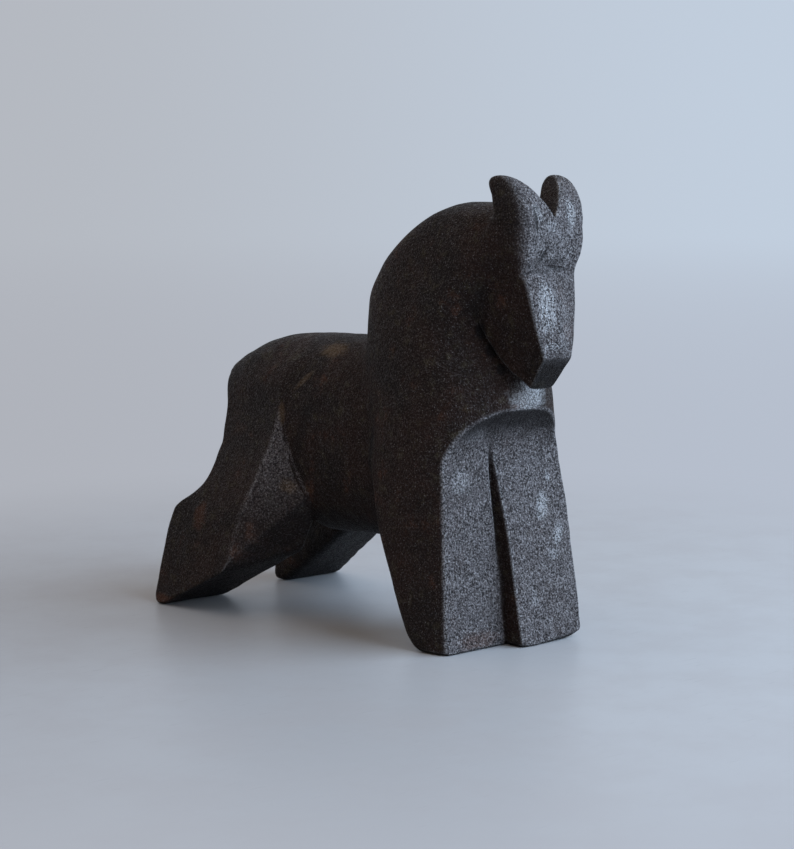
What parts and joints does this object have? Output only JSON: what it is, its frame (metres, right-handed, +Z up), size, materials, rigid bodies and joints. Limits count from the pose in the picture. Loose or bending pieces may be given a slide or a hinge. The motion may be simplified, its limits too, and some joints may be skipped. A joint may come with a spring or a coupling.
{
  "type": "animal figurine",
  "caption": "Standing stylised goat in dark unglazed stoneware: arched neck, short horns, planed legs, wide hind stance.",
  "frame": {"origin": "on the surface that the feet stand on, under the middle of the animal's length and width", "axes": "+Z up, the animal faces -Y, +X to the animal's left"},
  "size_m": [0.1164, 0.215, 0.2],
  "materials": {
    "stoneware": "unglazed, coarse grog, mat with a dull sheen"
  },
  "bodies": {
    "root": {"forequarters": "stoneware", "barrel": "stoneware", "hindquarter_right": "stoneware", "hindquarter_left": "stoneware", "head": "stoneware", "horn_right": "stoneware", "horn_left": "stoneware"}
  },
  "joints": []
}
